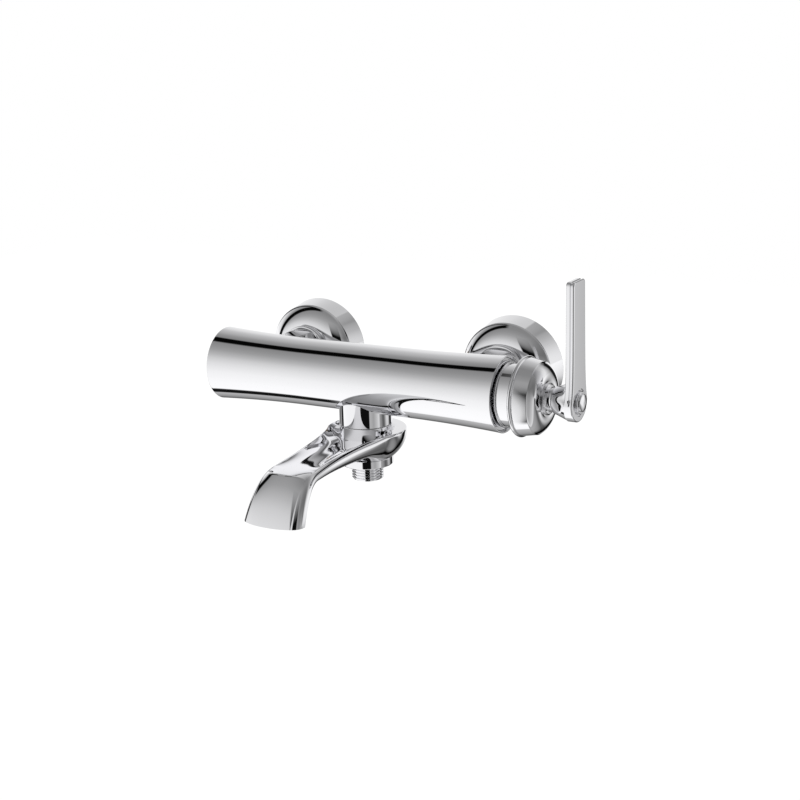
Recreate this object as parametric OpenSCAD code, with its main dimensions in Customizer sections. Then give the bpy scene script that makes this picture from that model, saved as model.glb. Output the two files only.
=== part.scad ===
// Wall mounted bath mixer: single lever on the end of a barrel, swivelling spout, hose outlet below.
// Millimetres. +X runs along the barrel to the lever, +Y goes into the wall, +Z is up.
// The origin is on the wall face, midway between the two inlet pipes.

/* [Inlets] */
// Distance between the two inlet pipes
inlet_span = 150; // [130:1:170]
// Outer radius of the G1/2 pipe thread
thread_r = 10.4775; // [9:0.0005:12]
// Length of thread that screws into the wall
wall_thread_len = 18; // [12:1:24]
// Distance from the wall face to the barrel's axis
wall_to_axis = 75.4; // [72:0.1:90]
// Height of the barrel's axis above the pipes, taken up by the eccentric unions
axis_rise = 2.4; // [0:0.1:4]
// Radius of the escutcheon at the wall
escutcheon_r = 33.9; // [30:0.1:40]
// Depth of the escutcheon's straight band
escutcheon_band = 15; // [12:0.5:18]
// Depth of the escutcheon's dome in front of its band
escutcheon_dome = 8; // [6:0.5:9]

/* [Barrel] */
// Overall length of the barrel
barrel_len = 208; // [170:1:250]
// Radius of the barrel along its middle
barrel_r = 21.9; // [21.5:0.1:26]
// How much each end flares out
barrel_flare = 2.2; // [1.8:0.1:3]
// Distance from the middle at which the flare begins
flare_start = 36.7; // [25:0.1:50]
// Radius of the bore through the barrel
barrel_bore_r = 19; // [18.9:0.05:19.4]
// Depth of the open recess behind the lever end's rim
mouth_depth = 5; // [3:0.5:7]
// Width of the rim around that recess
mouth_lip = 1; // [0.8:0.1:1.5]

/* [Cartridge] */
// Radius of the ceramic cartridge's housing
cartridge_r = 17.2; // [16.9:0.1:17.3]
// Distance from the barrel's end to the lever's tilt axis
pivot_out = 8; // [7.5:0.5:9]
// Distance from the tilt axis to the ball that drives the disc
ball_arm = 9; // [8.5:0.1:9]
// Radius of the fixed ceramic disc
fixed_disc_r = 13.5; // [12:0.1:14.2]
// Radius of the moving ceramic disc
moving_disc_r = 10; // [9.5:0.1:10.2]
// Radius of the ball that drives the disc
ball_r = 2.5; // [2.2:0.1:2.7]
// Radius of the spindle
spindle_r = 4; // [3.5:0.1:4.2]
// Radius of the spindle's pivot pin
pin_r = 1.45; // [1.2:0.05:1.6]
// Radius of the bonnet nut's visible sleeve
bonnet_r = 19.5; // [19.3:0.1:20]
// How far the bonnet nut stands out of the barrel
bonnet_out = 14; // [12:0.5:14]

/* [Handle] */
// Largest radius of the cap, at its bead
cap_r = 25; // [24.7:0.1:27]
// Distance from the barrel's end to the cap's open edge
cap_gap = 11.3; // [11:0.1:13]
// Length of the cap from its open edge to the end of its neck
cap_len = 20.7; // [20:0.1:24]
// Radius of the cap's neck
neck_r = 7.3; // [6.6:0.1:8]
// Length of the lever's hub
hub_len = 15.7; // [15:0.1:20]
// Radius of the lever's eye
eye_r = 12; // [11:0.1:13]
// Height of the lever above the barrel's axis
lever_h = 74; // [60:1:90]
// Width of the lever near its top
lever_w = 17; // [14:0.5:19]
// Thickness of the lever
lever_t = 4.6; // [4:0.1:6]

/* [Spout] */
// Position of the spout's swivel axis along the barrel
spout_x = 3; // [-10:0.5:10]
// Distance the spout reaches from its swivel axis
spout_reach = 115.4; // [95:0.1:140]
// Radius of the neck that carries the spout
outlet_r = 17.2; // [16.8:0.1:18]
// Height of the joint between the fixed neck and the spout
seam_z = -27; // [-29:0.5:-26]
// Radius of the collar around the spout's neck
collar_r = 26.5; // [24:0.1:28]
// Height of the collar's top
collar_z = -30.5; // [-32:0.1:-30]
// Height of the bottom of the spout's bowl
bowl_z = -49; // [-51:0.5:-48]
// Height of the spout's mouth
mouth_z = -59; // [-66:0.5:-56]
// Half width of the spout where it is narrowest
arm_w = 16.5; // [15:0.1:18]
// Half width of the spout at its mouth
mouth_w = 20.7; // [19:0.1:22]
// Thickness of the spout at its mouth
mouth_t = 5; // [4.5:0.1:6]
// Radius of the fixed column that the spout turns on
column_r = 10.6; // [10:0.1:11]
// Length of the hose thread below the spout
hose_thread_len = 9.8; // [8:0.1:12]

/* [Hidden] */
$fn = 96;

chrome = "#d8dadd";
brass = "#c9a765";
rubber = "#1d1d1f";
plastic = "#e6e6e2";
ceramic = "#f2f0ea";

// clearances
fit = 0.05;          // between pieces that seat in each other
move_gap = 0.3;      // between pieces that move past each other
wall_t = 2;          // thin brass walls
eps = 0.5;           // overshoot of a cut

// barrel
barrel_end = barrel_len / 2;
flare_len = barrel_end - flare_start;
barrel_r_end = barrel_r + barrel_flare;
inlet_x = inlet_span / 2;
block_r = barrel_bore_r - fit;
block_half = 11;
seat_x = barrel_end - 16.5;
cap_plug_len = 6;

// water passages inside the barrel, as offsets from its axis in Y and Z
port_ring = 8.5;
port_r = 4;
hot_port = [port_ring * cos(120), port_ring * sin(120)];
mixed_port = [port_ring * cos(240), port_ring * sin(240)];
cold_port = [port_ring, 0];
tube_r = 5.5;
socket_len = 4;
outlet_half = 15;
spigot_top = axis_rise - 13.4;

// inlet unions, as distances out from the wall face
tail_r = 10;
tail_bore_r = 6.5;
tail_seat = 12;
union_thread_r = 13.2;
union_y = 34;
washer_t = 2;
flange_t = 3;
flange_r = 12.4;
union_bore_r = 7.5;
nut_collar_r = 16.6;
nut_af = 27;
nut_collar_t = 3.5;
nut_len = 26;
escutcheon_front = escutcheon_band + escutcheon_dome;
escutcheon_front_r = escutcheon_r - 2.2;
nut_y = escutcheon_front + 0.3;

// cartridge, measured along the barrel
pivot_x = barrel_end + pivot_out;
ball_x = pivot_x - ball_arm;
carrier_top = ball_x + 1.3;
carrier_t = 4.6;
socket_depth = 4.2;
disc_t = 3.2;
moving_disc_x = carrier_top - carrier_t - disc_t;
fixed_disc_x = moving_disc_x - disc_t;
base_t = fixed_disc_x - seat_x - 1;
housing_bore_r = cartridge_r - 2.4;
turret_x = carrier_top + move_gap;
turret_flange_r = 13.5;
turret_flange_t = 3.4;
turret_neck_r = 9;
turret_end = pivot_x + 4;
housing_end = turret_x + turret_flange_t + 3;
rail_y = 7.7;
bonnet_ring_r = bonnet_r + 1;

// handle, measured along the barrel
cap_x = barrel_end + cap_gap;
cap_end = cap_x + cap_len;
hub_x = cap_end + move_gap;
face_x = hub_x + hub_len;
screw_r = 1.95;
head_x = hub_x + 9;
button_bed = 2.5;
button_r = 5.5;

// spout
axis_y = -wall_to_axis;
sleeve_r = 13;
collar_t = 5.7;
mouth_y = axis_y - spout_reach;
waist_y = axis_y - 0.6 * spout_reach;
bend_y = axis_y - 0.733 * spout_reach;
rim_drop = 2.9;
trough_depth = 8;
side_wall = 6;
crown = 0.6;
rim_step = 0.2;
stations = 12;
arm_start = 12;
scoop_r = 26;

// points from p to q along an arc that bulges by rise to the right of that direction, or left if negative
function bow(p, q, rise, n = 8) =
    let (d = q - p, c = norm(d), a = d / c, b = [a[1], -a[0]] * sign(rise), h = abs(rise),
         r = (c * c / 4 + h * h) / (2 * h), t = asin(c / 2 / r))
    [for (i = [0:n]) let (u = t * (2 * i / n - 1)) (p + q) / 2 + a * r * sin(u) + b * (r * cos(u) - r + h)];

// turns the local Z axis along the barrel, starting at x
module along_barrel(x = 0, off = [0, 0])
    translate([x, axis_y + off[0], axis_rise + off[1]]) rotate([0, 90, 0]) children();

// turns the local Z axis out from the wall, on the pipe at x, starting at out from the wall
module from_wall(x, out = 0, z = 0)
    translate([x, -out, z]) rotate([90, 0, 0]) children();

// puts the local origin on the spout's swivel axis
module on_spout_axis(z = 0)
    translate([spout_x, axis_y, z]) children();

module ring(r, hole, h, z = 0)
    translate([0, 0, z]) difference() {
        cylinder(r = r, h = h);
        translate([0, 0, -eps]) cylinder(r = hole, h = h + 2 * eps);
    }

module o_ring(r, thick, z = 0)
    translate([0, 0, z]) rotate_extrude() translate([r, 0]) circle(r = thick / 2, $fn = 24);

// ---- barrel and its waterways ----

function flared(x) = barrel_r + barrel_flare * pow(max(0, (abs(x) - flare_start) / flare_len), 2);

module body_barrel() color(chrome) difference() {
    along_barrel() rotate_extrude() polygon(concat(
        [[0, -barrel_end]],
        [for (i = [-12:-1]) let (x = i / 12 * flare_len - flare_start) [flared(x), x]],
        [[barrel_r, -flare_start], [barrel_r, flare_start]],
        [for (i = [1:12]) let (x = i / 12 * flare_len + flare_start) [flared(x), x]],
        [[0, barrel_end]]));
    along_barrel(-barrel_end - eps) cylinder(r = barrel_bore_r, h = barrel_len + 2 * eps);
    along_barrel(barrel_end - mouth_depth) cylinder(r = barrel_r_end - mouth_lip, h = mouth_depth + eps);
    along_barrel(-barrel_end - eps) cylinder(r = barrel_r_end - mouth_lip - 1, h = 3 + eps);
    for (side = [-1, 1])
        from_wall(side * inlet_x, 0, axis_rise) cylinder(r = tail_r + fit, h = wall_to_axis);
    on_spout_axis(axis_rise - barrel_r - eps) cylinder(r = sleeve_r, h = barrel_r);
}

module end_cap() color(chrome) along_barrel(-barrel_end + 0.4) difference() {
    union() {
        cylinder(r = barrel_r_end - mouth_lip - 1 - fit, h = 2.6);
        translate([0, 0, 2.6]) cylinder(r = block_r, h = cap_plug_len);
    }
    ring(barrel_r, block_r - 1.6, 2.2, 5);
    translate([0, 0, 4.6]) cylinder(r = block_r - 4, h = cap_plug_len);
}

module end_cap_seal() color(rubber)
    along_barrel(-barrel_end + 0.4) o_ring(block_r - 0.75, 1.5, 6.1);

// bores a passage along the barrel at off from x0 to x1
module passage(x0, x1, off, r)
    along_barrel(x0, off) cylinder(r = r, h = x1 - x0);

// bores the way in from the wall side, down to depth past the barrel's axis
module inlet_bore(x, depth) {
    from_wall(x, wall_to_axis - barrel_bore_r - eps, axis_rise)
        cylinder(r = tail_bore_r, h = barrel_bore_r + eps - depth);
    from_wall(x, wall_to_axis - barrel_bore_r - eps, axis_rise)
        cylinder(r = tail_r + fit, h = barrel_bore_r + eps - tail_seat);
}

module hot_inlet_block() color(brass) difference() {
    along_barrel(-inlet_x - block_half) cylinder(r = block_r, h = 2 * block_half);
    inlet_bore(-inlet_x, -6);
    passage(-inlet_x, -inlet_x + block_half + eps, hot_port, port_r);
    passage(-inlet_x + block_half - socket_len, -inlet_x + block_half + eps, hot_port, tube_r + fit);
}

module outlet_block() color(brass) difference() {
    along_barrel(spout_x - outlet_half) cylinder(r = block_r, h = 2 * outlet_half);
    passage(spout_x - outlet_half - eps, spout_x + outlet_half + eps, hot_port, tube_r + move_gap);
    passage(spout_x, spout_x + outlet_half + eps, mixed_port, port_r);
    passage(spout_x + outlet_half - socket_len, spout_x + outlet_half + eps, mixed_port, tube_r + fit);
    on_spout_axis(axis_rise - barrel_r) cylinder(r = column_r - 3, h = barrel_r - 3);
    on_spout_axis(axis_rise - barrel_r - eps) cylinder(r = sleeve_r, h = 10 + eps);
}

module valve_seat_block() color(brass) difference() {
    along_barrel(inlet_x - block_half) cylinder(r = block_r, h = seat_x - inlet_x + block_half);
    inlet_bore(inlet_x, 2.5);
    passage(inlet_x, seat_x + eps, cold_port, port_r);
    for (port = [hot_port, mixed_port]) {
        passage(inlet_x - block_half - eps, seat_x + eps, port, port_r);
        passage(inlet_x - block_half - eps, inlet_x - block_half + socket_len, port, tube_r + fit);
    }
}

module water_tube(x0, x1, port)
    along_barrel(x0, port) ring(tube_r, port_r, x1 - x0);

module hot_water_tube() color(brass)
    water_tube(-inlet_x + block_half - socket_len, inlet_x - block_half + socket_len, hot_port);

module mixed_water_tube() color(brass)
    water_tube(spout_x + outlet_half - socket_len, inlet_x - block_half + socket_len, mixed_port);

// rubber rings that sit on the tubes against the faces of the blocks
module tube_seals() color(rubber) {
    for (x = [-inlet_x + block_half + 0.8, inlet_x - block_half - 0.8])
        along_barrel(x, hot_port) o_ring(tube_r + 0.8, 1.5);
    for (x = [spout_x + outlet_half + 0.8, inlet_x - block_half - 0.8])
        along_barrel(x, mixed_port) o_ring(tube_r + 0.8, 1.5);
}

// ---- inlets ----

module inlet_tail(side) color(brass) from_wall(side * inlet_x, 0, axis_rise) difference() {
    union() {
        translate([0, 0, union_y + washer_t])
            cylinder(r = tail_r, h = wall_to_axis - tail_seat - union_y - washer_t - fit);
        translate([0, 0, union_y + washer_t]) cylinder(r = flange_r, h = flange_t);
    }
    cylinder(r = tail_bore_r, h = wall_to_axis);
}

module inlet_tail_left() inlet_tail(-1);
module inlet_tail_right() inlet_tail(1);

// hexagon nut with a round collar on the wall side and a lip that pulls on the tail's flange
module union_nut(side) color(chrome) from_wall(side * inlet_x, 0, axis_rise) difference() {
    union() {
        translate([0, 0, nut_y + nut_collar_t])
            cylinder(r = nut_af / sqrt(3), h = nut_len - nut_collar_t, $fn = 6);
        translate([0, 0, nut_y]) cylinder(r = nut_collar_r, h = nut_collar_t);
        translate([0, 0, nut_y + nut_len - 3]) cylinder(r = nut_af / 2 - 0.6, h = 4);
    }
    cylinder(r = union_thread_r + fit, h = union_y + washer_t + flange_t + fit);
    cylinder(r = tail_r + 0.2, h = wall_to_axis);
}

module union_nut_left() union_nut(-1);
module union_nut_right() union_nut(1);

module filter_washer(side) color(rubber)
    from_wall(side * inlet_x, 0, axis_rise) ring(flange_r - 0.4, tail_bore_r, washer_t, union_y);

module filter_washer_left() filter_washer(-1);
module filter_washer_right() filter_washer(1);

// eccentric union: pipe thread in the wall on one axis, union thread in front on the barrel's height
module s_union(side) color(brass) difference() {
    union() {
        from_wall(side * inlet_x, -wall_thread_len) cylinder(r = thread_r, h = wall_thread_len);
        from_wall(side * inlet_x) cylinder(r = thread_r, h = 3);
        from_wall(side * inlet_x, 3, axis_rise / 2) cylinder(r = union_thread_r - 0.6, h = 6);
        from_wall(side * inlet_x, 9, axis_rise) cylinder(r = union_thread_r, h = union_y - 9);
    }
    from_wall(side * inlet_x, -wall_thread_len - eps) cylinder(r = union_bore_r, h = wall_thread_len + 9);
    from_wall(side * inlet_x, 6, axis_rise) cylinder(r = union_bore_r, h = union_y);
}

module s_union_left() s_union(-1);
module s_union_right() s_union(1);

// thin domed shell with a hole for the union and a seat for the foam ring
module escutcheon(side) color(chrome) from_wall(side * inlet_x) rotate_extrude() polygon(concat(
    [[escutcheon_r - wall_t, 0], [escutcheon_r, 0], [escutcheon_front_r, escutcheon_band]],
    bow([escutcheon_front_r - 0.6, escutcheon_band + 0.4], [nut_collar_r, escutcheon_front], 1.9),
    [[union_thread_r + axis_rise + 0.4, escutcheon_front]],
    [[union_thread_r + axis_rise + 0.4, escutcheon_front - wall_t]],
    bow([nut_collar_r, escutcheon_front - wall_t],
        [escutcheon_front_r - wall_t - 0.6, escutcheon_band - 0.8], -1.7)));

module escutcheon_left() escutcheon(-1);
module escutcheon_right() escutcheon(1);

module wall_seal(side) color(rubber)
    from_wall(side * inlet_x) ring(escutcheon_r - wall_t - 0.6, escutcheon_r - wall_t - 4, 2);

module wall_seal_left() wall_seal(-1);
module wall_seal_right() wall_seal(1);

// ---- cartridge ----

module cartridge_housing() color(plastic) difference() {
    along_barrel(fixed_disc_x) cylinder(r = cartridge_r, h = housing_end - fixed_disc_x);
    along_barrel(fixed_disc_x - eps)
        cylinder(r = housing_bore_r, h = housing_end - fixed_disc_x - 3 + fit + eps);
    along_barrel(fixed_disc_x) cylinder(r = turret_neck_r + fit, h = housing_end);
}

module cartridge_base() color(plastic) difference() {
    along_barrel(seat_x + 1) cylinder(r = cartridge_r, h = base_t);
    for (port = [hot_port, mixed_port, cold_port])
        passage(seat_x, fixed_disc_x + eps, port, port_r - 0.8);
}

module cartridge_seals() color(rubber)
    for (port = [hot_port, mixed_port, cold_port])
        along_barrel(seat_x, port) ring(port_r - 0.1, port_r - 1.1, 1);

module fixed_disc() color(ceramic) difference() {
    along_barrel(fixed_disc_x) cylinder(r = fixed_disc_r, h = disc_t);
    for (port = [hot_port, mixed_port, cold_port])
        passage(fixed_disc_x - eps, moving_disc_x + eps, port, port_r - 0.8);
}

// screwed sleeve that holds the cartridge down and shows between the barrel and the cap
module bonnet_nut() color(chrome) difference() {
    union() {
        along_barrel(seat_x + 8) cylinder(r = block_r, h = barrel_end - seat_x - 8);
        along_barrel(barrel_end - mouth_depth) cylinder(r = bonnet_ring_r, h = mouth_depth + 2);
        along_barrel(barrel_end) cylinder(r = bonnet_r, h = bonnet_out);
    }
    along_barrel(seat_x) cylinder(r = cartridge_r + fit, h = housing_end - seat_x);
    along_barrel(seat_x) cylinder(r = turret_flange_r, h = barrel_len);
    along_barrel(housing_end + 2) cylinder(r = cartridge_r, h = bonnet_out);
}

module bonnet_seal() color(rubber)
    along_barrel(barrel_end - mouth_depth) o_ring(bonnet_ring_r + 0.8, 1.5, 0.8);

// ---- turret, pin and moving disc ----

// turning part of the cartridge: a slotted neck that carries the pin, and two rails for the carrier
module turret() color(plastic) difference() {
    union() {
        along_barrel(turret_x) cylinder(r = turret_flange_r, h = turret_flange_t);
        along_barrel(turret_x) cylinder(r = turret_neck_r, h = turret_end - turret_x);
        for (side = [-1, 1])
            translate([turret_x - 3, axis_y + side * (rail_y + 1.3) - 1, axis_rise - 6]) cube([3, 2, 12]);
    }
    translate([turret_x - eps, axis_y - spindle_r - move_gap, axis_rise - 8])
        cube([turret_flange_t + eps, 2 * (spindle_r + move_gap), 16]);
    translate([turret_x + turret_flange_t - eps, axis_y - spindle_r - move_gap, axis_rise - 15])
        cube([20, 2 * (spindle_r + move_gap), 30]);
    translate([pivot_x, 0, axis_rise]) rotate([90, 0, 0]) cylinder(r = pin_r + fit, h = 2 * wall_to_axis);
}

module pivot_pin() color("silver")
    translate([pivot_x, axis_y + turret_neck_r - 0.8, axis_rise]) rotate([90, 0, 0])
        cylinder(r = pin_r, h = 2 * turret_neck_r - 1.6);

module moving_disc() color(ceramic) difference() {
    along_barrel(moving_disc_x) cylinder(r = moving_disc_r, h = disc_t);
    along_barrel(moving_disc_x - eps, [-1, -1.6]) cylinder(r = 5.6, h = 1.6 + eps);
}

module disc_carrier() color(plastic) difference() {
    along_barrel(carrier_top - carrier_t) cylinder(r = moving_disc_r, h = carrier_t);
    for (side = [-1, 1])
        translate([carrier_top - carrier_t - eps, axis_y + side * (rail_y + 5) - 5, axis_rise - 15])
            cube([carrier_t + 2 * eps, 10, 30]);
    along_barrel(carrier_top - socket_depth) cylinder(r = ball_r + 0.35, h = socket_depth + eps);
}

// ---- handle ----

module spindle() color("silver") difference() {
    union() {
        along_barrel(ball_x) sphere(r = ball_r, $fn = 48);
        along_barrel(ball_x) cylinder(r = 1.8, h = ball_arm);
        along_barrel(pivot_x - 4.4) cylinder(r = spindle_r, h = cap_end - 2 - pivot_x + 4.4);
    }
    translate([pivot_x, 0, axis_rise]) rotate([90, 0, 0]) cylinder(r = pin_r + 0.08, h = 2 * wall_to_axis);
    along_barrel(pivot_x + 8) cylinder(r = screw_r + fit, h = cap_len);
}

// domed cap with a bead at its open edge and a short neck; hollow, with a boss for the spindle
module handle_cap() color(chrome) along_barrel(cap_x) rotate_extrude() polygon(concat(
    [[cap_r - 1.8, 0]],
    bow([cap_r - 0.9, 0], [cap_r - 0.9, 2.4], 0.9, 6),
    [[cap_r - 1.4, 2.7], [cap_r - 1, 3.1]],
    bow([cap_r - 2.7, 11.7], [10.5, 16.3], 2.2),
    [[9.7, 16.4], [9.7, 17.4], [8.9, 17.9], [neck_r, 18.1], [neck_r, cap_len]],
    [[spindle_r + fit, cap_len], [spindle_r + fit, 8.7], [neck_r - 0.3, 8.7], [neck_r - 0.3, 14.6]],
    bow([10.5, 14.4], [cap_r - 4.6, 10.4], -2),
    [[cap_r - 2.8, 3]]));

// half width of the blade at height z above the eye
function blade_w(z) = lever_w / 2 + 0.7 * (1 - z / lever_h) + (eye_r - lever_w / 2 - 0.7) * exp(-z / 9);

module lever() color(chrome) difference() {
    union() {
        along_barrel(hub_x) rotate_extrude() polygon([
            [0, 0], [neck_r + 0.5, 0], [neck_r + 0.9, 0.4],
            [eye_r, hub_len - 5], [eye_r, hub_len], [0, hub_len]]);
        translate([face_x - lever_t, axis_y, axis_rise]) rotate([90, 0, 90]) linear_extrude(lever_t)
            polygon(concat(
                [for (i = [0:20]) let (z = i / 20 * (lever_h - 2)) [blade_w(z), z]],
                bow([lever_w / 2, lever_h - 2], [lever_w / 2 - 2, lever_h], 0.6, 4),
                bow([2 - lever_w / 2, lever_h], [-lever_w / 2, lever_h - 2], 0.6, 4),
                [for (i = [20:-1:0]) let (z = i / 20 * (lever_h - 2)) [-blade_w(z), z]]));
    }
    along_barrel(hub_x - eps) cylinder(r = screw_r + 0.3, h = hub_len + 2 * eps);
    along_barrel(head_x) cylinder(r = 4, h = hub_len);
    along_barrel(face_x - button_bed) cylinder(r = button_r, h = hub_len);
    along_barrel(face_x - 0.6) ring(8.4, 7.4, 2);
}

module handle_screw() color("silver") along_barrel(head_x) difference() {
    union() {
        cylinder(r = 3.6, h = 3.4);
        translate([0, 0, -16]) cylinder(r = screw_r, h = 16);
    }
    translate([0, 0, 1.4]) cylinder(r = 1.7, h = 3, $fn = 6);
}

module index_button() color(chrome) along_barrel(face_x - button_bed) rotate_extrude() polygon(concat(
    [[0, 0], [button_r - fit, 0], [button_r - fit, button_bed], [7, button_bed], [7, button_bed + 1]],
    [[6.6, button_bed + 1.4], [button_r, button_bed + 1.4]],
    bow([button_r, button_bed + 2.4], [0, button_bed + 5], 1)));

// ---- outlet column ----

module outlet_neck() color(chrome) difference() {
    union() {
        on_spout_axis(seam_z) cylinder(r = outlet_r, h = axis_rise - seam_z);
        on_spout_axis(seam_z) cylinder(r = sleeve_r - fit, h = spigot_top - seam_z);
    }
    difference() {
        along_barrel(spout_x - 30) cylinder(r = barrel_r + fit, h = 60);
        on_spout_axis(axis_rise - barrel_r - 5) cylinder(r = sleeve_r - fit, h = 30);
    }
    on_spout_axis(spigot_top) cylinder(r = outlet_r, h = 30);
    on_spout_axis(seam_z - eps) cylinder(r = column_r + fit, h = 8);
    on_spout_axis(seam_z - eps) cylinder(r = column_r - 2.6, h = 40);
}

// fixed tube under the neck, with a window towards the spout
module outlet_column() color(brass) difference() {
    on_spout_axis(bowl_z + 0.2) cylinder(r = column_r, h = seam_z + 7 - bowl_z);
    on_spout_axis(bowl_z - eps) cylinder(r = column_r - 2.6, h = 40);
    on_spout_axis(collar_z - 10.5) rotate([90, 0, 0]) cylinder(r = 3, h = 20);
}

// screwed collar under the spout's bowl with the hose thread below it
module hose_outlet() color(chrome) on_spout_axis(bowl_z) rotate([180, 0, 0]) difference() {
    union() {
        translate([0, 0, -6]) cylinder(r = column_r - 2.6 - fit, h = 7);
        cylinder(r = outlet_r - 0.1, h = collar_t);
        cylinder(r = thread_r, h = collar_t + hose_thread_len);
    }
    translate([0, 0, -7]) cylinder(r = 6, h = 40);
}

module column_seals() color(rubber)
    for (z = [seam_z - 4, bowl_z + 4]) on_spout_axis(z) o_ring(column_r + 0.75, 1.4);

module glide_ring() color(plastic) {
    on_spout_axis(seam_z - 0.3) ring(outlet_r - 1.2, column_r + fit, 0.3);
}

// ---- spout ----

// how far along the bend the point y is, from 0 where it starts to 1 at the mouth
function bend(y) = max(0, (bend_y - y) / (bend_y - mouth_y));
// distance out along the straight stretch, from 0 at the collar to 1 where the bend starts
function run(y) = min(1, max(0, (axis_y - 19.6 - y) / (axis_y - 19.6 - bend_y)));
// height of the spout's upper edge
function rim_z(y) = collar_z - rim_step - rim_drop * pow(run(y), 2)
    + (mouth_z - collar_z + rim_step + rim_drop) * pow(bend(y), 2);
// half width between the spout's upper edges
function half_w(y) = y > waist_y
    ? arm_w + (collar_r - 4.7 - arm_w) * pow((y - waist_y) / (axis_y - 19.6 - waist_y), 2)
    : arm_w + (mouth_w - arm_w) * pow((waist_y - y) / (waist_y - mouth_y), 2);
// depth of the trough below the upper edge, turning into a slight crown on the bent face
function trough(y) = trough_depth * pow(max(0, 1 - (axis_y - 14 - y) / (axis_y - 14 - bend_y)), 0.8)
    - crown * run(y);
// depth of the spout's underside below its upper edge
function under(y) = mouth_t + (side_wall - mouth_t) * (1 - bend(y)) + trough(y) * 0.95;
// angle that the spout's thickness leans back by, from 0 where it runs level to 90 at the mouth
function lean(y) = bend(y) > 0.99 ? 90 : atan((rim_z(y) - rim_z(y - 0.1)) / 0.1);

// outline of the spout at y: the trough from edge to edge, then the rounded underside back again
function section(y) =
    let (w = half_w(y), d = under(y), t = trough(y), e = 1.6)
    [for (q = concat(
        [for (i = [-3:3]) let (u = i / 3) [u * (w - e), t * (1 - u * u)]],
        [for (i = [1:9]) let (f = 18 * i, c = cos(f), s = sin(f))
            [w * sign(c) * pow(abs(c), 0.6), d * pow(s, 0.6)]]))
    [spout_x + q[0], y + q[1] * sin(lean(y)), rim_z(y) - q[1] * cos(lean(y))]];

// closes a row of outlines into a solid
module loft(rows) {
    n = len(rows[0]);
    m = len(rows);
    polyhedron(
        points = [for (row = rows) for (p = row) p],
        faces = concat(
            [[for (i = [n - 1:-1:0]) i]],
            [[for (i = [0:n - 1]) (m - 1) * n + i]],
            [for (j = [0:m - 2]) for (i = [0:n - 1]) let (k = (i + 1) % n)
                [j * n + i, (j + 1) * n + k, (j + 1) * n + i]],
            [for (j = [0:m - 2]) for (i = [0:n - 1]) let (k = (i + 1) % n)
                [j * n + i, j * n + k, (j + 1) * n + k]]));
}

module spout_arm()
    loft([for (i = [0:stations]) let (f = pow(i / stations, 0.8))
        section(axis_y - arm_start + (mouth_y - axis_y + arm_start) * f)]);

module spout_bowl() rotate_extrude() polygon(concat(
    [[0, collar_z]],
    [[collar_r - 0.6, collar_z], [collar_r, collar_z - 0.6]],
    bow([collar_r, collar_z - 2], [outlet_r + 1, bowl_z], -4.5, 6),
    [[0, bowl_z]]));

// the arm and the bowl, scooped out in front of the neck, with the bore that turns on the column
module spout() color(chrome) difference() {
    union() {
        difference() {
            union() {
                on_spout_axis() spout_bowl();
                spout_arm();
            }
            on_spout_axis(collar_z - trough_depth + scoop_r) rotate([90, 0, 0])
                cylinder(r = scoop_r, h = collar_r + 6);
        }
        on_spout_axis(bowl_z + 2) cylinder(r = outlet_r, h = seam_z - 0.3 - bowl_z - 2);
    }
    on_spout_axis(bowl_z - eps) cylinder(r = sleeve_r + fit, h = seam_z - bowl_z + 2 * eps);
}

// sleeve that turns with the spout and opens or shuts the column's window
module diverter_sleeve() color(plastic) difference() {
    on_spout_axis(bowl_z + move_gap) ring(sleeve_r, column_r + 0.08, seam_z - bowl_z - 2 * move_gap - 0.3);
    on_spout_axis(collar_z - 10.5) rotate([90, 0, 0]) cylinder(r = 3.4, h = 20);
    for (z = [seam_z - 4, bowl_z + 4]) on_spout_axis(z - 1) cylinder(r = column_r + 1.6, h = 2);
}

module flow_insert() color(plastic)
    translate([spout_x - 14, mouth_y + 2, mouth_z - 1]) cube([28, 2.4, 0.8]);

body_barrel();
end_cap();
end_cap_seal();
hot_inlet_block();
outlet_block();
valve_seat_block();
hot_water_tube();
mixed_water_tube();
tube_seals();
inlet_tail_left();
inlet_tail_right();
union_nut_left();
union_nut_right();
filter_washer_left();
filter_washer_right();
s_union_left();
s_union_right();
escutcheon_left();
escutcheon_right();
wall_seal_left();
wall_seal_right();
cartridge_housing();
cartridge_base();
cartridge_seals();
fixed_disc();
bonnet_nut();
bonnet_seal();
outlet_neck();
outlet_column();
hose_outlet();
column_seals();
glide_ring();
turret();
pivot_pin();
moving_disc();
disc_carrier();
spindle();
handle_cap();
lever();
handle_screw();
index_button();
spout();
diverter_sleeve();
flow_insert();
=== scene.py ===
import math

import bpy
import numpy as np
from mathutils import Matrix


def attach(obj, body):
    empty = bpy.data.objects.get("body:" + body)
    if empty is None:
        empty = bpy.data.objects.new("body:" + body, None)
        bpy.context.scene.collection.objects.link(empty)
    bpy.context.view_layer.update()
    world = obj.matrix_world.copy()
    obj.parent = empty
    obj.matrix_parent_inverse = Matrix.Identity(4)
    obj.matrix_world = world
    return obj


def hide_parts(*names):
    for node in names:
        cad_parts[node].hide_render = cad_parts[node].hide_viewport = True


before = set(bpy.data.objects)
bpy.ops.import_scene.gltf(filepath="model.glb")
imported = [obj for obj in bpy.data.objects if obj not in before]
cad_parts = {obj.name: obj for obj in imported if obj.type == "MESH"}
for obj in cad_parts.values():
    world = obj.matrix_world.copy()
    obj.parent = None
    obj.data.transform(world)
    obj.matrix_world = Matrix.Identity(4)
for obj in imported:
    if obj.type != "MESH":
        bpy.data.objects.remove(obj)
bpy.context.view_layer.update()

# ---- S-shaped unions ----
# Cast brass, left raw where it goes into the wall. Each screws into the pipe in the wall with a
# pipe thread and carries the chrome union nut on its front thread, a little higher.

inlet_x = 0.075
axis_z = 0.0024
thread_pitch = 0.001814


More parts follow.
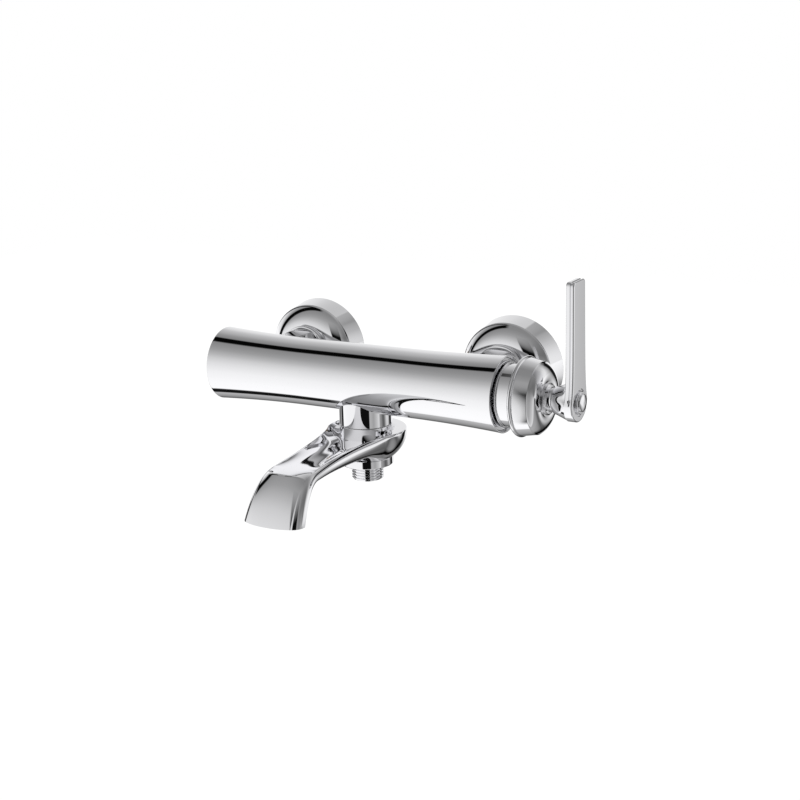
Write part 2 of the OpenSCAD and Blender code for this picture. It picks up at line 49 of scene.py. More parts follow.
def surface(name, grid, body, *nodes):
    """A closed skin over rows and columns of points: each neighbouring four make a face, points that
    fall together are welded, so seams and poles close, and the skin is turned to face outwards."""
    rows, columns = grid.shape[:2]
    points, index = np.unique(np.round(grid.reshape(-1, 3), 8), axis=0, return_inverse=True)
    index = index.reshape(rows, columns)
    fours = np.stack([index[:-1, :-1], index[1:, :-1], index[1:, 1:], index[:-1, 1:]], -1).reshape(-1, 4)
    faces = [list(dict.fromkeys(four)) for four in fours.tolist()]
    faces = [face for face in faces if len(face) > 2]
    fan = np.array([(f[0], f[i], f[i + 1]) for f in faces for i in range(1, len(f) - 1)])
    a, b, c = points[fan[:, 0]], points[fan[:, 1]], points[fan[:, 2]]
    if np.einsum("ij,ij->", a, np.cross(b, c)) < 0:
        faces = [face[::-1] for face in faces]
    mesh = bpy.data.meshes.new(name)
    mesh.from_pydata(points, [], faces)
    mesh.polygons.foreach_set("use_smooth", np.ones(len(faces), bool))
    mesh.set_sharp_from_angle(angle=math.radians(33))
    obj = bpy.data.objects.new(name, mesh)
    bpy.context.scene.collection.objects.link(obj)
    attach(obj, body)
    if nodes:
        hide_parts(*nodes)
    return obj


def outline(corners, close=True):
    """The profile through corners (radius, height along the axis, rounding): each corner gives way to
    an arc that touches both of its sides, with a point just before and after it so flats stay flat."""
    out = []
    count = len(corners)
    for i in range(count):
        p = np.array(corners[i][:2], float)
        bend = corners[i][2] if len(corners[i]) > 2 else 0
        before = np.array(corners[i - 1][:2], float) - p
        after = np.array(corners[(i + 1) % count][:2], float) - p
        long_before, long_after = np.linalg.norm(before), np.linalg.norm(after)
        if bend == 0 or long_before < 1e-9 or long_after < 1e-9:
            out.append(p)
            continue
        before, after = before / long_before, after / long_after
        angle = math.acos(max(-1, min(1, before @ after)))
        bend = min(bend, 0.45 * min(long_before, long_after) * math.tan(angle / 2))
        reach = bend / math.tan(angle / 2)
        centre = p + (before + after) / np.linalg.norm(before + after) * bend / math.sin(angle / 2)
        start, end = p + before * reach - centre, p + after * reach - centre
        sweep = math.pi - angle
        steps = max(4, int(sweep / 0.2))
        out.append(p + before * (reach + min(0.1, 0.3 * bend)))
        for t in np.linspace(0, 1, steps + 1):
            spoke = start * math.sin((1 - t) * sweep) + end * math.sin(t * sweep)
            out.append(centre + spoke / math.sin(sweep))
        out.append(p + after * (reach + min(0.1, 0.3 * bend)))
    if close:
        out.append(out[0])
    return np.array(out)


def arc(p, q, rise, count=10):
    """Points from p to q on a circle that bulges by rise to the right of that direction."""
    p, q = np.array(p, float), np.array(q, float)
    chord = np.linalg.norm(q - p)
    along = (q - p) / chord
    side = np.array([along[1], -along[0]]) * math.copysign(1, rise)
    rise = abs(rise)
    radius = (chord**2 / 4 + rise**2) / (2 * rise)
    half = math.asin(chord / 2 / radius)
    turn = half * np.linspace(-1, 1, count)[:, None]
    return (p + q) / 2 + along * radius * np.sin(turn) + side * (radius * np.cos(turn) - radius + rise)


def turned(profile, direction, centre, steps=144):
    """A profile (radius, height along the axis, in mm) turned round an axis through centre: every point
    is centre + height x axis + radius x (cos and sin of the angle across the axis)."""
    axis = np.array(direction, float)
    across = np.array([0.0, 0, 1]) if abs(axis[2]) < 0.5 else np.array([1.0, 0, 0])
    other = np.cross(axis, across)
    angle = np.linspace(0, 2 * math.pi, steps + 1)
    angle[-1] = 0
    spin = np.cos(angle)[:, None] * across + np.sin(angle)[:, None] * other
    profile = np.array(profile) / 1000
    return np.array(centre) + profile[:, 1][:, None, None] * axis + profile[:, 0][:, None, None] * spin


def threaded(crest, root, start, end, direction, centre, bore, pitch=thread_pitch * 1000):
    """A screw thread: the radius swings between crest and root with height over pitch plus turn, and
    runs out to the root over the last half turn; the bore closes the piece."""
    steps, per_turn = 96, 16
    height = np.linspace(start, end, int((end - start) / pitch * per_turn) + 1)
    angle = np.linspace(0, 2 * math.pi, steps + 1)
    turn = (height[:, None] - start) / pitch + angle[None, :] / (2 * math.pi)
    wave = np.clip(0.5 + 0.85 * np.cos(2 * math.pi * turn), 0, 1)
    fade = np.clip((end - height) / (0.5 * pitch), 0, 1)[:, None]
    radius = root + (crest - root) * wave * fade
    axis = np.array(direction, float)
    across = np.array([0.0, 0, 1]) if abs(axis[2]) < 0.5 else np.array([1.0, 0, 0])
    other = np.cross(axis, across)
    angle = angle.copy()
    angle[-1] = 0
    radius[:, -1] = radius[:, 0]
    spin = np.cos(angle)[:, None] * across + np.sin(angle)[:, None] * other
    skin = np.array(centre) + (height[:, None, None] * axis + radius[:, :, None] * spin) / 1000
    bore_rows = turned([(bore, end), (bore, start)], direction, centre, steps)
    return np.concatenate([skin, bore_rows, skin[:1]])


def linear(shade):
    """A hex colour as the linear red, green and blue that the renderer works in."""
    parts = [int(shade[i : i + 2], 16) / 255 for i in (1, 3, 5)]
    return tuple(p / 12.92 if p <= 0.04045 else ((p + 0.055) / 1.055) ** 2.4 for p in parts) + (1.0,)


def add(tree, kind, inputs=(), **settings):
    """Adds a node, sets its values and links its inputs."""
    node = tree.nodes.new(kind)
    for key, value in settings.items():
        setattr(node, key, value)
    for key, value in dict(inputs).items():
        if isinstance(value, bpy.types.NodeSocket):
            tree.links.new(value, node.inputs[key])
        else:
            node.inputs[key].default_value = value
    return node


def finish_of(name, shade, metal, rough, uneven, grain=60.0, bump=0.0):
    """A finish: one colour, with the roughness drifting over the surface by a soft noise."""
    material = bpy.data.materials.new(name)
    material.use_nodes = True
    tree = material.node_tree
    tree.nodes.clear()
    place = add(tree, "ShaderNodeTexCoord")
    noise = add(tree, "ShaderNodeTexNoise", {"Vector": place.outputs["Object"], "Scale": grain, "Detail": 3.0})
    spread = add(
        tree,
        "ShaderNodeMapRange",
        {"Value": noise.outputs["Fac"], "To Min": rough, "To Max": rough + uneven},
    )
    shader = add(
        tree,
        "ShaderNodeBsdfPrincipled",
        {"Base Color": linear(shade), "Metallic": metal, "Roughness": spread.outputs["Result"]},
    )
    if bump:
        relief = add(
            tree, "ShaderNodeBump", {"Height": noise.outputs["Fac"], "Strength": bump, "Distance": 0.0002}
        )
        tree.links.new(relief.outputs["Normal"], shader.inputs["Normal"])
    out = add(tree, "ShaderNodeOutputMaterial")
    tree.links.new(shader.outputs["BSDF"], out.inputs["Surface"])
    return material


def painted(obj, material):
    """Gives a piece its finish."""
    obj.data.materials.clear()
    obj.data.materials.append(material)


# raw cast and turned brass
raw_brass = finish_of("raw_brass", "#b9924f", 1.0, 0.28, 0.14, 300.0, 0.2)
# chrome plate polished to a mirror
polished_chrome = finish_of("polished_chrome", "#f1f1f3", 1.0, 0.02, 0.02, 25.0)
# moulded rubber
black_rubber = finish_of("black_rubber", "#1b1b1d", 0.0, 0.55, 0.15, 400.0, 0.1)
# moulded acetal
white_plastic = finish_of("white_plastic", "#e4e4df", 0.0, 0.35, 0.1, 300.0)
# lapped alumina
disc_ceramic = finish_of("disc_ceramic", "#f0eee6", 0.0, 0.2, 0.1, 500.0)
# bright drawn steel
pin_steel = finish_of("pin_steel", "#c4c6c9", 1.0, 0.18, 0.1, 200.0)

for side, name in ((-1, "left"), (1, "right")):
    wall_end = threaded(10.47, 9.5, -18, 2.6, (0, -1, 0), (side * inlet_x, 0, 0), 7.5)
    painted(surface("wall_thread_" + name, wall_end, "mixer", "s_union_" + name), raw_brass)
    front = turned(
        outline([(7.5, 2.6), (12.6, 2.6, 0.4), (12.6, 9), (13.2, 9, 0.3), (13.2, 34, 0.5), (7.5, 34)]),
        (0, -1, 0),
        (side * inlet_x, 0, axis_z / 2),
    )
    front[:, :, 2] += np.clip((-front[:, :, 1] - 0.006) / 0.003, 0, 1) * axis_z / 2
    painted(surface("union_body_" + name, front, "mixer"), raw_brass)
    painted(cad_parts["wall_seal_" + name], black_rubber)
    painted(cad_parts["filter_washer_" + name], black_rubber)

# ---- escutcheons ----
# Thin spun brass shells, chromed: a slightly tapered band with a crisp edge and a low dome that
# closes on the union nut. They push on over the unions and hide the holes in the tiles.

for side, name in ((-1, "left"), (1, "right")):
    profile = np.concatenate(
        [
            outline([(31.9, 0), (33.9, 0, 0.4), (31.75, 14.9, 0.4), (31.0, 15.35)], False)[:-1],
            arc((31.0, 15.35), (16.6, 23), 1.9, 24),
            [(16.0, 23), (16.0, 21)],
            arc((16.6, 21), (29.1, 14.2), -1.7, 12),
            [(29.8, 13), (31.9, 0)],
        ]
    )
    shell = turned(profile, (0, -1, 0), (side * inlet_x, 0, 0), 192)
    shell = surface("escutcheon_skin_" + name, shell, "mixer", "escutcheon_" + name)
    painted(shell, polished_chrome)

# ---- union nuts and inlet tails ----
# Forged brass hexagon nuts, chromed, with a round collar on the wall side and a turned boss in
# front. They draw the flanged tails of the barrel against the washers.

for side, name in ((-1, "left"), (1, "right")):
    across_flats = 27.0
    height = np.concatenate(
        [
            [23.3, 23.4, 23.5, 23.7, 26.3, 26.6, 26.75, 26.8],
            np.linspace(26.8, 28.0, 9),
            [30, 40, 47],
            np.linspace(48, 49.3, 9),
            [49.3, 50.0, 50.2, 50.3],
        ]
    )
    round_r = np.concatenate(
        [
            [16.0, 16.3, 16.5, 16.6, 16.6, 16.5, 16.2, 15.0],
            np.linspace(14.2, 15.8, 9),
            [16, 16, 16],
            np.linspace(15.8, 13.9, 9),
            [12.9, 12.9, 12.8, 12.5],
        ]
    )
    turn = np.linspace(0, 2 * math.pi, 193)
    turn[-1] = 0
    flats = np.arange(6) * math.pi / 3 + math.pi / 6
    lean = np.clip(np.cos(turn[:, None] - flats[None, :]), 0, 1)
    hexagon = across_flats / 2 / (lean**90).sum(1) ** (1 / 90)
    is_hex = ((height > 26.79) & (height < 49.31)).astype(float)
    radius = np.where(is_hex[:, None] > 0.5, np.minimum(hexagon[None, :], round_r[:, None]), round_r[:, None])
    ring = np.stack([np.cos(turn), np.zeros_like(turn), np.sin(turn)], -1)
    skin = radius[:, :, None] * ring[None] + height[:, None, None] * np.array([0, -1, 0])
    bore = (10.2, 50.3), (10.2, 39.1), (13.25, 39.1), (13.25, 23.3)
    inner = np.stack([r * ring + h * np.array([0, -1, 0]) for r, h in bore])
    nut = np.concatenate([skin, inner, skin[:1]]) / 1000 + np.array([side * inlet_x, 0, axis_z])
    nut = surface("union_nut_skin_" + name, nut, "mixer", "union_nut_" + name)
    painted(nut, polished_chrome)
    tail = turned(
        outline([(6.5, 36), (12.4, 36, 0.3), (12.4, 39, 0.3), (10, 39, 0.3), (10, 63.3, 0.3), (6.5, 63.3)]),
        (0, -1, 0),
        (side * inlet_x, 0, axis_z),
    )
    tail = surface("tail_skin_" + name, tail, "mixer", "inlet_tail_" + name)
    painted(tail, polished_chrome)

# ---- barrel ----
# The body: a turned brass tube, chromed, straight in the middle and flared to both ends. The right
# end is open to the cartridge with a thin rim; the left is shut by a flat cap.

barrel_axis = (0.0, -0.0754, 0.0024)
half_barrel, straight_half, barrel_r, flare = 104.0, 36.7, 21.9, 2.2
swell = flare * (np.linspace(0, 1, 40)) ** 2
right_flare = np.stack([barrel_r + swell, np.linspace(straight_half, half_barrel, 40)], -1)
left_flare = right_flare[::-1] * [1, -1]
profile = np.concatenate(
    [
        outline([(22.1, -101.5), (22.1, -104, 0.25), (24.1, -104, 0.35), (24.09, -103)], False)[:-1],
        left_flare[1:],
        right_flare[:-1],
        outline([(24.09, 103), (24.1, 104, 0.35), (23.1, 104, 0.25), (23.1, 101, 1.2), (19, 101)], False)[1:],
        [(19, -101.5), (22.1, -101.5)],
    ]
)
barrel = turned(profile, (1, 0, 0), barrel_axis, 256)
painted(surface("barrel_skin", barrel, "mixer", "body_barrel"), polished_chrome)

plug = turned(
    outline([(0, -103.6), (22.05, -103.6, 0.4), (22.05, -101), (18.9, -101), (18.9, -95), (0, -95)]),
    (1, 0, 0),
    barrel_axis,
    192,
)
painted(surface("end_cap_skin", plug, "mixer", "end_cap"), polished_chrome)

for name in (
    "hot_inlet_block",
    "outlet_block",
    "valve_seat_block",
    "hot_water_tube",
    "mixed_water_tube",
    "outlet_column",
):
    painted(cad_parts[name], raw_brass)
for name in ("end_cap_seal", "tube_seals", "cartridge_seals", "bonnet_seal", "column_seals"):
    painted(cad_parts[name], black_rubber)

# ---- cartridge and bonnet nut ----
# A moulded cartridge with two ceramic discs sits on the valve block. The chromed bonnet nut screws
# down over it and shows as a stepped sleeve between the barrel's rim and the handle's cap.

for name in (
    "cartridge_housing",
    "cartridge_base",
    "turret",
    "disc_carrier",
    "diverter_sleeve",
    "flow_insert",
    "glide_ring",
):
    painted(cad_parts[name], white_plastic)
for name in ("fixed_disc", "moving_disc"):
    painted(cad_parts[name], disc_ceramic)
for name in ("pivot_pin", "spindle", "handle_screw"):
    painted(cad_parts[name], pin_steel)

sleeve = turned(
    outline(
        [
            (17.25, 95.6),
            (18.9, 95.6),
            (18.9, 99.05),
            (20.5, 99.05, 0.2),
            (20.5, 106, 0.5),
            (19.5, 106, 0.2),
            (19.5, 118, 0.3),
            (17.25, 118, 0.2),
        ]
    ),
    (1, 0, 0),
    barrel_axis,
    192,
)
painted(surface("bonnet_skin", sleeve, "mixer", "bonnet_nut"), polished_chrome)

# ---- handle cap ----
# Cast zinc, chromed and hollow: a rolled bead and a fine groove at the open edge, a plain band, a
# crisp edge and a shallow dome, then a stepped neck. It is screwed to the cartridge's spindle.

cap_x = 115.3
profile = np.concatenate(
    [
        [(23.2, 0)],
        arc((24.1, 0), (24.1, 2.4), 0.9, 14),
        outline(
            [(24.1, 2.4), (23.6, 2.75, 0.1), (24.0, 3.1, 0.25), (22.4, 11.6, 0.3), (21.8, 12.1)], False
        )[1:-1],
        arc((21.9, 12.0), (10.5, 16.3), 1.9, 24),
        outline(
            [
                (10.5, 16.3),
                (9.7, 16.4, 0.1),
                (9.7, 17.4, 0.3),
                (8.9, 17.9, 0.2),
                (7.3, 18.1, 0.2),
                (7.3, 20.7, 0.2),
                (4.1, 20.7),
            ],
            False,
        )[1:],
        [(4.1, 8.7), (7.0, 8.7), (7.0, 14.6)],
        arc((10.5, 14.4), (20.4, 10.4), -2.0, 12),
        [(22.2, 3), (23.2, 0)],
    ]
)
cap = turned(profile + np.array([0, cap_x]), (1, 0, 0), barrel_axis, 224)
painted(surface("cap_skin", cap, "handle", "handle_cap"), polished_chrome)

# ---- lever ----
# One chromed casting: a conical hub that drops over the spindle and a flat blade that rises from
# it, with rounded edges and a fine groove round the button. Its screw is under the button.

hub_x, face_x, eye_r, blade_t, blade_top = 136.3, 152.0, 12.0, 5.4, 74.0
blade_half, corner_r, edge_r = 8.5, 2.4, 0.9
rise = np.linspace(0, blade_top - corner_r, 64)
half_w = blade_half + 0.7 * (1 - rise / blade_top) + 2.8 * np.exp(-rise / 9)
a = np.linspace(0.1, math.pi / 2, 9)
corner = np.stack(
    [blade_half - corner_r * (1 - np.cos(a)), blade_top - corner_r + corner_r * np.sin(a)], -1
)
flat_half = blade_half - corner_r
across_top = np.stack([np.linspace(flat_half, -flat_half, 14)[1:-1], np.full(12, blade_top)], -1)
right_side = np.stack([half_w, rise], -1)
a = np.linspace(0, math.pi, 60)[1:-1]
below = np.stack([-eye_r * np.cos(a), -eye_r * np.sin(a)], -1)
edge = np.concatenate(
    [right_side, corner, across_top, corner[::-1] * [-1, 1], right_side[::-1] * [-1, 1], below]
)
edge = np.concatenate([edge, edge[:1]])
away = np.linalg.norm(edge, axis=1)
toward = edge / away[:, None]
step = np.roll(edge[:-1], -1, 0) - np.roll(edge[:-1], 1, 0)
out_of_edge = np.stack([step[:, 1], -step[:, 0]], -1) / np.linalg.norm(step, axis=1)[:, None]
out_of_edge = np.concatenate([out_of_edge, out_of_edge[:1]])
on_blade = np.clip((edge[:, 1] + 1) / 6, 0, 1)
on_blade = (on_blade * on_blade * (3 - 2 * on_blade))[:, None]


def circle_row(radius, x):
    """A ring of the hub at one distance along the axis."""
    return np.column_stack([np.full(len(edge), x), toward * radius])


def edge_row(inset, x, everywhere=True):
    """The lever's outline moved in by inset, at one distance along the axis."""
    move = inset if everywhere else inset * on_blade
    return np.column_stack([np.full(len(edge), x), edge - out_of_edge * move])


# the button's seat and the groove round it, as (radius, below the face)
button_seat = [(0, 2.5), (5.5, 2.5), (5.5, 0), (7.3, 0)]
groove = [(7.4, 0.1), (7.5, 0.6), (8.3, 0.6), (8.4, 0.1), (8.5, 0), (8.7, 0)]
rows = [circle_row(radius, face_x - below_face) for radius, below_face in button_seat + groove]
quarter = np.linspace(0, math.pi / 2, 7)
back_x = face_x - blade_t
rows += [edge_row(edge_r + 0.2, face_x)]
rows += [edge_row(edge_r * (1 - math.sin(a)), face_x - edge_r * (1 - math.cos(a))) for a in quarter]
# the fine groove along the blade's edge, as (how deep, below the face)
rows += [edge_row(0, face_x - 1.1)]
edge_groove = [(0.1, 1.3), (1.0, 1.8), (1.0, 2.0), (0.15, 2.5)]
rows += [edge_row(deep, face_x - below_face, False) for deep, below_face in edge_groove]
rows += [edge_row(0, face_x - 2.7), edge_row(0, back_x + edge_r + 0.2)]
rows += [edge_row(edge_r * (1 - math.cos(a)), back_x + edge_r * (1 - math.sin(a)), False) for a in quarter]
rows += [edge_row(edge_r + 0.2, back_x, False)]
# the back of the blade runs into the hub's cone
for a in quarter:
    x = back_x - 2.0 * (1 - math.cos(a))
    reach = 8.2 + 3.8 * min(1.0, (x - 136.7) / 10.3) + 2.6 * (1 - math.sin(a)) * on_blade
    reach = np.minimum(reach, away[:, None] - 1.1 * on_blade)
    rows += [np.column_stack([np.full(len(edge), x), toward * reach])]
rows += [circle_row(8.35, hub_x + 0.75), circle_row(8.2, hub_x + 0.4), circle_row(7.9, hub_x + 0.1)]
rows += [circle_row(7.7, hub_x), circle_row(0, hub_x)]
lever = np.stack(rows) / 1000 + np.array(barrel_axis)
painted(surface("lever_skin", lever, "handle", "lever"), polished_chrome)

button = np.concatenate(
    [
        [(0, 0), (5.45, 0), (5.45, 2.5)],
        outline(
            [
                (5.5, 2.5),
                (7, 2.5, 0.1),
                (7, 3.5, 0.25),
                (6.6, 3.9, 0.25),
                (5.5, 3.9, 0.1),
                (5.5, 4.8, 0.25),
                (4.6, 5.25),
            ],
            False,
        )[1:-1],
        arc((5.1, 5.0), (0, 5.6), 0.25, 14),
    ]
)
button = turned(button + np.array([0, face_x - 2.5]), (1, 0, 0), barrel_axis, 96)
painted(surface("button_skin", button, "handle", "index_button"), polished_chrome)

# ---- outlet neck ----
# A short chromed column soldered under the barrel. The spout turns on it below a fine seam.

spout_axis = (0.003, -0.0754, 0.0)
neck = turned(
    outline([(13, -27), (17.2, -27, 0.22), (17.2, -10.6), (13, -10.6)]),
    (0, 0, 1),
    spout_axis,
    192,
)
painted(surface("neck_skin", neck, "mixer", "outlet_neck"), polished_chrome)

# ---- spout ----
# A chromed brass casting that swings on the column: a flat collar over a rounded bowl, and an arm
# hollowed along its top like a trough, which bends down at its end to a wide flat mouth.

collar_r, collar_z, bowl_depth = 26.5, -30.5, 18.5
collar_thick = 23.7
axis_y, root_y, bend_y, crest_y, mouth_y = -75.4, -89.0, -160.0, -173.0, -190.8
waist_y, waist_half = -145.0, 16.5
rim_drop, mouth_drop, mouth_bend = 2.9, 26.6, 2.4
floor_root, floor_climb = -35.2, 2.3
mouth_crown = 2.8
spout_x = 3
ring_angles = np.linspace(0, math.pi, 49)


def smooth(t):
    """An ease from 0 to 1."""
    t = np.clip(t, 0, 1)
    return t * t * (3 - 2 * t)


def half_section(half, rim, shoulder, hollow, bulge, depth, square, start=0.0):
    """Half of the spout's outline, from the middle of the top to the middle of the underside, as
    (sideways, below the rim). With u from 0 in the middle to 1 at the rim, the top is the lower of
    the trough's floor, hollow times (1 - u to the power 4), and the mouth's face, minus bulge times
    (1 - u to the power 2.4), blended where they meet. A flat rim, a rounded edge and a side that
    turns under like a squared ellipse follow."""
    u = np.linspace(0, 1, 36)
    floor, face = hollow * (1 - u**4), -bulge * (1 - u**2.4)
    lower = (floor + face + np.sqrt((floor - face) ** 2 + 0.04 * (1 - u) ** 2)) / 2
    trough = np.stack([u * (half - rim), lower], -1)
    fillet = 1.5 * shoulder
    flat = rim - shoulder
    top = np.array([(half - rim + 0.2 * flat, 0.0), (half - shoulder - 0.1 * flat, 0.0)])
    a = np.linspace(start, math.pi / 2, 14)
    out = (np.sin(a) - math.sin(start)) / (1 - math.sin(start))
    down = (math.cos(start) - np.cos(a)) / math.cos(start)
    turn = np.stack([half - shoulder + shoulder * out, fillet * down], -1)
    b = np.linspace(0, math.pi / 2, 40)[1:]
    side = np.stack([half * np.cos(b) ** square, fillet + (depth - fillet) * np.sin(b) ** square], -1)
    side[:, 1] = np.minimum(side[:, 1], bowl_depth)
    side[-1, 0] = 0
    return np.concatenate([trough, top, turn, side])


def at(y):
    """The section at y: half width, rim width, shoulder, trough depth, the face's bulge, thickness,
    squareness, rim height, lean, and the angle at which the rounded edge starts. The width follows
    the collar's circle, then a long waist, then widens to the mouth. The trough's floor is a
    straight ramp in y, and the mouth's face stands above it past the crest."""
    circle = math.sqrt(max(0.0, collar_r**2 - (y - axis_y) ** 2))
    if y > waist_y:
        waist = waist_half + 5.3 * ((y - waist_y) / 50) ** 2
    else:
        waist = waist_half + 4.2 * ((waist_y - y) / (waist_y - mouth_y)) ** 2
    half = circle + (waist - circle) * float(smooth((-79 - y) / 12))
    run = min(1.0, max(0.0, (-95 - y) / 65))
    bent = max(0.0, (bend_y - y) / (bend_y - mouth_y))
    near = float(1 - smooth((axis_y - y) / 30))
    shoulder = 2.8 - 1.8 * near + 2.2 * bent
    rim = shoulder + 0.7 * max(0.02, 1 - 2.5 * bent) + 5.8 * float(1 - smooth((axis_y - y) / 24))
    depth = 5 + 1.0 * (1 - bent) + 7.5 * max(0.0, 1 - max(0.0, -89.4 - y) / 72.0) ** 0.85
    depth += (collar_thick - depth) * near
    square = 0.6 + 0.4 * near
    height = collar_z - rim_drop * run**2 - mouth_drop * bent**mouth_bend
    fall = mouth_bend * mouth_drop * bent ** (mouth_bend - 1) / (bend_y - mouth_y)
    lean = math.atan(fall) + (math.pi / 2 - math.atan(fall)) * bent**3
    floor_z = floor_root + floor_climb * (root_y - y) / (root_y - crest_y)
    hollow = (height - floor_z) / max(0.3, math.cos(lean)) if y > crest_y - 9 else -20.0
    bulge = mouth_crown + min(20.0, 1.1 * math.exp((y - crest_y) / 4))
    start = 0.35 * min(1.0, 3 * bent)
    return half, rim, shoulder, hollow, bulge, depth, square, height, lean, start


def placed(y, side):
    """The half section at y, set across the spout: depth runs down where the arm is level and back
    towards the wall where it hangs."""
    half, rim, shoulder, hollow, bulge, depth, square, height, lean, start = at(y)
    q = half_section(half, rim, shoulder, hollow, bulge, depth, square, start)
    return np.stack(
        [spout_x + side * q[:, 0], y + q[:, 1] * math.sin(lean), height - q[:, 1] * math.cos(lean)], -1
    )


stations = axis_y + (mouth_y - axis_y) * np.linspace(0, 1, 220)
back_rows = []
for angle in ring_angles[1:-1]:
    sunk = 8 * (1 - math.sin(angle)) ** 2
    q = half_section(collar_r, 7.5, 1.0, sunk, 20.0, collar_thick, 1.0)
    back_rows.append(
        np.stack(
            [spout_x + q[:, 0] * math.cos(angle), axis_y + q[:, 0] * math.sin(angle), collar_z - q[:, 1]], -1
        )
    )
centre_line = placed(mouth_y, 1) * [0, 1, 1] + [spout_x, 0, 0]
right_rows = [placed(y, 1) for y in stations[::-1]]
left_rows = [placed(y, -1) for y in stations]
arm = np.stack([centre_line] + right_rows + back_rows + left_rows + [centre_line]) / 1000
painted(surface("spout_arm", arm, "swivel_spout", "spout"), polished_chrome)

spout_neck = turned(
    outline([(13.05, -48), (17.2, -48), (17.2, -27.3, 0.22), (13.05, -27.3)]),
    (0, 0, 1),
    spout_axis,
    192,
)
painted(surface("spout_neck", spout_neck, "swivel_spout"), polished_chrome)

# ---- hose outlet ----
# A chromed collar screwed up into the column from below, with a half inch thread for the shower
# hose. It stays still when the spout turns.

collar = turned(
    outline([(7.9, -48.8), (17.1, -49, 0.3), (17.1, -54.0, 0.7), (15.6, -54.7, 0.5), (7.9, -54.7)]),
    (0, 0, 1),
    spout_axis,
    192,
)
painted(surface("hose_collar", collar, "mixer", "hose_outlet"), polished_chrome)
thread = threaded(10.47, 9.45, 54.5, 64.5, (0, 0, -1), spout_axis, 6.0)
painted(surface("hose_thread", thread, "mixer"), polished_chrome)

# ---- studio ----
# A pale floor well below, and a big light tent with dark cards in it that only the chrome sees.


def glow(name, shade, strength):
    """A plain lit surface."""
    material = bpy.data.materials.new(name)
    material.use_nodes = True
    tree = material.node_tree
    tree.nodes.clear()
    light = add(tree, "ShaderNodeEmission", {"Color": linear(shade), "Strength": strength})
    out = add(tree, "ShaderNodeOutputMaterial")
    tree.links.new(light.outputs["Emission"], out.inputs["Surface"])
    return material


def ramp(tree, value, stops):
    """A shade that follows value through stops (place, grey 0 to 255)."""
    node = add(tree, "ShaderNodeValToRGB", {"Fac": value})
    bar = node.color_ramp
    while len(bar.elements) > 1:
        bar.elements.remove(bar.elements[-1])
    bar.elements[0].position = stops[0][0]
    bar.elements[0].color = linear("#" + "%02x" % stops[0][1] * 3)
    for place, grey in stops[1:]:
        bar.elements.new(place).color = linear("#" + "%02x" % grey * 3)
    return node.outputs["Color"]


tent_r, tent_rows, tent_columns = 0.6, 33, 65
up = np.linspace(-math.pi / 2, math.pi / 2, tent_rows)[:, None]
round_way = np.linspace(0, 2 * math.pi, tent_columns)
tent_points = tent_r * np.stack(
    [np.cos(up) * np.cos(round_way), np.cos(up) * np.sin(round_way), np.sin(up) * np.ones(tent_columns)], -1
)
mesh = bpy.data.meshes.new("light_tent")
cells = [
    (i * tent_columns + j, i * tent_columns + j + 1, (i + 1) * tent_columns + j + 1, (i + 1) * tent_columns + j)
    for i in range(tent_rows - 1)
    for j in range(tent_columns - 1)
]
mesh.from_pydata(tent_points.reshape(-1, 3), [], cells)
mesh.polygons.foreach_set("use_smooth", np.ones(len(cells), bool))
tent = bpy.data.objects.new("light_tent", mesh)
bpy.context.scene.collection.objects.link(tent)
tent.visible_camera = False
tent.location = barrel_axis

cloth = bpy.data.materials.new("tent_cloth")
cloth.use_nodes = True
tree = cloth.node_tree
tree.nodes.clear()
place = add(tree, "ShaderNodeTexCoord")
parts = add(tree, "ShaderNodeSeparateXYZ", {"Vector": place.outputs["Object"]})
x, y, z = parts.outputs["X"], parts.outputs["Y"], parts.outputs["Z"]
front = add(tree, "ShaderNodeMath", {0: y, 1: -1.0}, operation="MULTIPLY").outputs[0]


def as_turn(a, b):
    """The direction's angle from a over b, as a share of a whole turn from 0 to 1."""
    angle = add(tree, "ShaderNodeMath", {0: a, 1: b}, operation="ARCTAN2").outputs[0]
    share = add(tree, "ShaderNodeMath", {0: angle, 1: 1 / (2 * math.pi), 2: 0.5}, operation="MULTIPLY_ADD")
    return share.outputs[0]


def turn(degrees):
    """Degrees as that share of a turn."""
    return degrees / 360 + 0.5


# the tent's light from the wall side over the top to the front and down to the floor
height_light = ramp(
    tree,
    as_turn(z, front),
    [
        (turn(-180), 250), (turn(-158), 240), (turn(-144), 110), (turn(-135), 90), (turn(-122), 140),
        (turn(-94), 185), (turn(-91), 252), (turn(-77), 255), (turn(-50), 252), (turn(-16), 242),
        (turn(0), 231), (turn(11), 222), (turn(25), 205), (turn(37), 182), (turn(52), 156), (turn(64), 143),
        (turn(78), 132), (turn(98), 130), (turn(109), 147), (turn(119), 170), (turn(135), 192),
        (turn(149), 218), (turn(170), 231), (turn(180), 233),
    ],
)
# upright dark cards: one behind the camera, one narrow one on the right towards the wall
cards = ramp(
    tree,
    as_turn(x, front),
    [
        (turn(8), 255), (turn(10), 16), (turn(45), 16), (turn(47), 185), (turn(64), 163), (turn(78), 190),
        (turn(92), 221), (turn(108), 247), (turn(134), 255), (turn(148), 150), (turn(151), 22),
        (turn(168), 22), (turn(170), 255),
    ],
)


def as_share(value):
    """A distance across the tent, as a share of its width from 0 to 1."""
    share = add(tree, "ShaderNodeMath", {0: value, 1: 0.5 / tent_r, 2: 0.5}, operation="MULTIPLY_ADD")
    return share.outputs[0]


def mixed(factor, a, b, blend="MIX"):
    """Two shades mixed by factor."""
    inputs = {"Factor": factor, "A": a, "B": b}
    node = add(tree, "ShaderNodeMix", inputs, data_type="RGBA", blend_type=blend)
    return node.outputs["Result"]


plain_white = (1, 1, 1, 1)
card_height = ramp(tree, as_share(z), [(0.02, 0), (0.06, 255), (0.68, 255), (0.90, 0)])
only_cards = mixed(card_height, plain_white, cards)
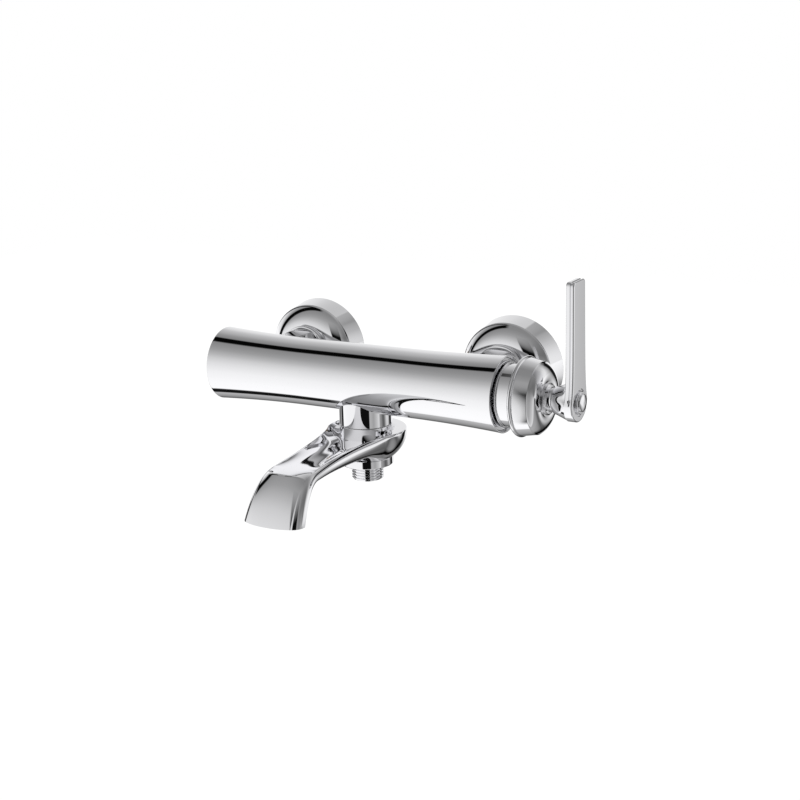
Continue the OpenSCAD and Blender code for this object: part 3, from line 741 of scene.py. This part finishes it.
# the dark gap between the tent's front and back halves, on the left
gap_stops = [(0.405, 255), (0.425, 120), (0.432, 20), (0.530, 20), (0.538, 170), (0.55, 255)]
gap = ramp(tree, as_share(y), gap_stops)
overhead = ramp(tree, as_share(x), [(0.36, 255), (0.42, 0)])
underneath = ramp(tree, as_share(x), [(0.24, 255), (0.28, 0)])
raised = add(tree, "ShaderNodeMath", {0: z, 1: 0.0}, operation="GREATER_THAN").outputs[0]
leftwards = mixed(raised, underneath, overhead)
only_gap = mixed(leftwards, plain_white, gap)
with_cards = mixed(1.0, height_light, only_cards, "MULTIPLY")
with_gap = mixed(1.0, with_cards, only_gap, "MULTIPLY")
light = add(tree, "ShaderNodeEmission", {"Color": with_gap, "Strength": 1.12})
out = add(tree, "ShaderNodeOutputMaterial")
tree.links.new(light.outputs["Emission"], out.inputs["Surface"])
tent.data.materials.append(cloth)

floor_half, floor_height = 2.2, -0.4
corners = np.array([(-1, -1), (1, -1), (1, 1), (-1, 1)]) * floor_half
ground = np.column_stack([corners, np.full(4, floor_height)])
mesh = bpy.data.meshes.new("floor")
mesh.from_pydata(ground, [], [(0, 1, 2, 3)])
floor = bpy.data.objects.new("floor", mesh)
bpy.context.scene.collection.objects.link(floor)
floor.data.materials.append(glow("pale_floor", "#ffffff", 1.05))
floor.visible_glossy = False

world = bpy.data.worlds.new("world")
world.use_nodes = True
world.node_tree.nodes["Background"].inputs["Color"].default_value = (1, 1, 1, 1)
world.node_tree.nodes["Background"].inputs["Strength"].default_value = 1.0
bpy.context.scene.world = world
bpy.context.scene.view_settings.view_transform = "Standard"

# ---- camera ----
# From the front right and a little above, as in the photo.

around, above, tip = math.radians(29.64), math.radians(15.42), math.radians(-1.76)
back = np.array([math.sin(around) * math.cos(above), -math.cos(around) * math.cos(above), math.sin(above)])
right = np.array([math.cos(around), math.sin(around), 0])
upward = np.cross(back, right)
right, upward = right * math.cos(tip) + upward * math.sin(tip), upward * math.cos(tip) - right * math.sin(tip)
camera = bpy.data.objects.new("camera", bpy.data.cameras.new("camera"))
bpy.context.scene.collection.objects.link(camera)
pose = Matrix(np.column_stack([right, upward, back]).tolist()).to_4x4()
camera_at = (0.49959, -0.89777, 0.25450)
pose.translation = camera_at
camera.matrix_world = pose
camera.data.lens = 69.68
camera.data.sensor_width = 36
camera.data.shift_x = -0.00476
camera.data.shift_y = -0.00516
bpy.context.scene.camera = camera
